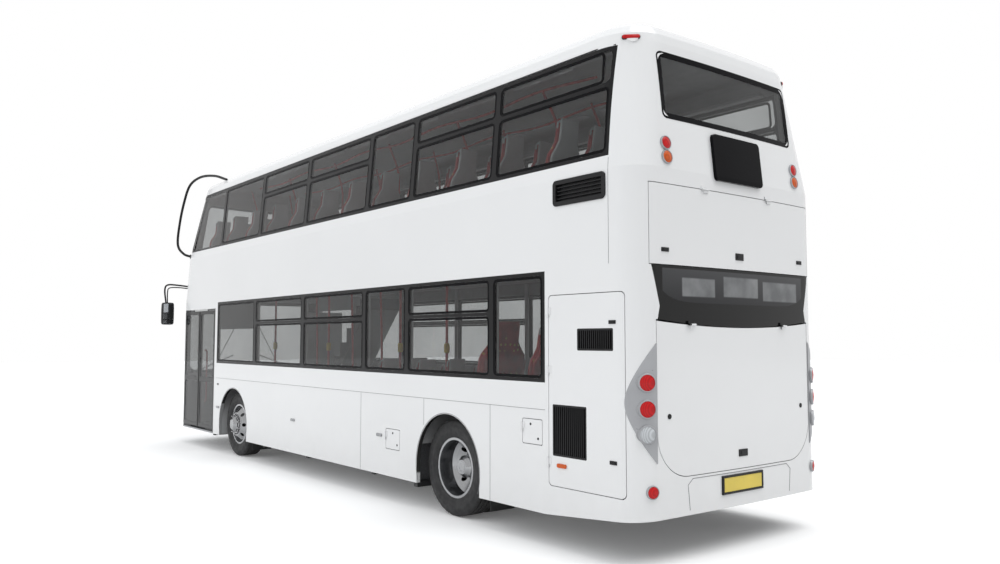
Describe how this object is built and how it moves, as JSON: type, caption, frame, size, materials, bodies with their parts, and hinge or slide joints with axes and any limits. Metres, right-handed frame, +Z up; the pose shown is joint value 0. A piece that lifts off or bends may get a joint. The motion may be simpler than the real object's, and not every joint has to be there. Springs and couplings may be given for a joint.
{
  "type": "double decker bus",
  "caption": "Low floor rear engine bus with two passenger decks, gliding entrance leaves, offside stairs, black window bands, hinged tail hatches and twin rear wheels.",
  "frame": {"origin": "on the ground in the middle of the overall length and width", "axes": "+X forward, +Y to the kerb side (the bus's left), +Z up"},
  "size_m": [11.13, 3.04, 4.5809],
  "materials": {
    "white_paint": "gloss",
    "black_band": "gloss",
    "tinted_glass": "polished",
    "clear_glass": "polished",
    "black_plastic": "satin",
    "silver_plastic": "satin",
    "red_lens": "gloss",
    "amber_lens": "gloss",
    "clear_lens": "gloss",
    "tyre": "matte",
    "alloy": "polished",
    "dark_steel": "satin",
    "cast": "matte",
    "bellows": "matte",
    "floor_cover": "matte",
    "interior_grey": "satin",
    "seat_cloth": "woven",
    "rail_red": "gloss"
  },
  "bodies": {
    "body": {"skirt_left": "white_paint", "skirt_right": "white_paint", "deck_panels": "white_paint", "window_frames": "black_band", "window_glass": "tinted_glass", "rear_quarters": "white_paint", "rear_bumper": "white_paint", "screen_surrounds": "black_band", "rear_dome": "white_paint", "roof": "white_paint", "front_panels": "white_paint", "front_upper_panel": "white_paint", "end_screens": "clear_glass", "intake_grille": "black_plastic", "light_clusters": "silver_plastic", "lamps_red": "red_lens", "lamps_amber": "amber_lens", "lamps_clear": "clear_lens", "display_boxes": "black_plastic", "axles": "cast", "air_springs": "bellows", "chassis_frame": "dark_steel", "engine": "cast", "floor_lower": "floor_cover", "floor_upper": "floor_cover", "wheel_housings": "dark_steel", "staircase": "interior_grey", "seats_upper": "seat_cloth", "seats_lower": "seat_cloth", "handrails": "rail_red", "cab_furniture": "interior_grey", "mirrors": "black_plastic", "tree_guard": "dark_steel"},
    "steering_wheel": {"steering_wheel": "black_plastic"},
    "door_leaf_rear": {"door_leaf_rear": "black_band", "door_glass_rear": "tinted_glass"},
    "door_leaf_front": {"door_leaf_front": "black_band", "door_glass_front": "tinted_glass"},
    "door_arms_rear": {"door_arms_rear": "alloy"},
    "door_arms_front": {"door_arms_front": "alloy"},
    "mid_hatch": {"rear_mid_hatch": "white_paint"},
    "engine_hatch": {"engine_hatch": "white_paint"},
    "engine_door": {"engine_door": "white_paint", "engine_door_grilles": "black_plastic", "engine_door_marker": "amber_lens"},
    "emergency_door": {"emergency_door": "white_paint", "emergency_door_glass": "tinted_glass"},
    "service_flap_rear": {"service_flap_rear": "white_paint"},
    "service_flap_front": {"service_flap_front": "white_paint"},
    "knuckle_left": {"knuckle_left": "cast"},
    "wheel_front_left": {"tyre_front_left": "tyre", "rim_front_left": "alloy"},
    "wheels_rear_left": {"tyres_rear_left": "tyre", "rims_rear_left": "alloy"},
    "knuckle_right": {"knuckle_right": "cast"},
    "wheel_front_right": {"tyre_front_right": "tyre", "rim_front_right": "alloy"},
    "wheels_rear_right": {"tyres_rear_right": "tyre", "rims_rear_right": "alloy"}
  },
  "joints": [
    {"name": "steer_left", "type": "hinge", "parent": "body", "child": "knuckle_left", "pos_m": [2.715, 0.96, 0.478], "axis": [0, 0, 1], "range_deg": [-40, 40]},
    {"name": "front_wheel_left_spin", "type": "hinge", "parent": "knuckle_left", "child": "wheel_front_left", "pos_m": [2.715, 1.053, 0.478], "axis": [0, 1, 0], "continuous": true},
    {"name": "rear_wheels_left_spin", "type": "hinge", "parent": "body", "child": "wheels_rear_left", "pos_m": [-2.945, 0.897, 0.478], "axis": [0, 1, 0], "continuous": true},
    {"name": "steer_right", "type": "hinge", "parent": "body", "child": "knuckle_right", "pos_m": [2.715, -0.96, 0.478], "axis": [0, 0, 1], "range_deg": [-40, 40]},
    {"name": "front_wheel_right_spin", "type": "hinge", "parent": "knuckle_right", "child": "wheel_front_right", "pos_m": [2.715, -1.053, 0.478], "axis": [0, 1, 0], "continuous": true},
    {"name": "rear_wheels_right_spin", "type": "hinge", "parent": "body", "child": "wheels_rear_right", "pos_m": [-2.945, -0.897, 0.478], "axis": [0, 1, 0], "continuous": true},
    {"name": "steering_wheel_turn", "type": "hinge", "parent": "body", "child": "steering_wheel", "pos_m": [4.685, -0.75, 1.19], "axis": [-0.4695, 0, 0.8829], "range_deg": [-640, 640]},
    {"name": "door_rear_arm_swing", "type": "hinge", "parent": "body", "child": "door_arms_rear", "pos_m": [3.563, 1.255, 1.3], "axis": [0, 0, -1], "range_deg": [0, 90]},
    {"name": "door_rear_leaf_swing", "type": "hinge", "parent": "door_arms_rear", "child": "door_leaf_rear", "pos_m": [3.904, 1.255, 1.3], "axis": [0, 0, 1], "range_deg": [0, 180]},
    {"name": "door_front_arm_swing", "type": "hinge", "parent": "body", "child": "door_arms_front", "pos_m": [4.935, 1.255, 1.3], "axis": [0, 0, 1], "range_deg": [0, 90]},
    {"name": "door_front_leaf_swing", "type": "hinge", "parent": "door_arms_front", "child": "door_leaf_front", "pos_m": [4.594, 1.255, 1.3], "axis": [0, 0, -1], "range_deg": [0, 180]},
    {"name": "mid_hatch_lift", "type": "hinge", "parent": "body", "child": "mid_hatch", "pos_m": [-5.545, 0, 3.019], "axis": [0, 1, 0], "range_deg": [0, 80]},
    {"name": "engine_hatch_lift", "type": "hinge", "parent": "body", "child": "engine_hatch", "pos_m": [-5.545, 0, 1.886], "axis": [0, 1, 0], "range_deg": [0, 80]},
    {"name": "engine_door_swing", "type": "hinge", "parent": "body", "child": "engine_door", "pos_m": [-4.475, 1.285, 1.3], "axis": [0, 0, -1], "range_deg": [0, 100]},
    {"name": "emergency_door_swing", "type": "hinge", "parent": "body", "child": "emergency_door", "pos_m": [-3.708, -1.285, 1.5], "axis": [0, 0, 1], "range_deg": [0, 100]},
    {"name": "rear_flap_swing", "type": "hinge", "parent": "body", "child": "service_flap_rear", "pos_m": [-4.125, 1.285, 0.957], "axis": [0, 0, -1], "range_deg": [0, 100]},
    {"name": "front_flap_swing", "type": "hinge", "parent": "body", "child": "service_flap_front", "pos_m": [-1.78, 1.285, 0.675], "axis": [0, 0, -1], "range_deg": [0, 100]}
  ],
  "couplings": [
    {"joint": "steer_right", "follows": "steer_left", "ratio": 1},
    {"joint": "steering_wheel_turn", "follows": "steer_left", "ratio": 16},
    {"joint": "door_rear_leaf_swing", "follows": "door_rear_arm_swing", "ratio": 2},
    {"joint": "door_front_leaf_swing", "follows": "door_front_arm_swing", "ratio": 2}
  ]
}
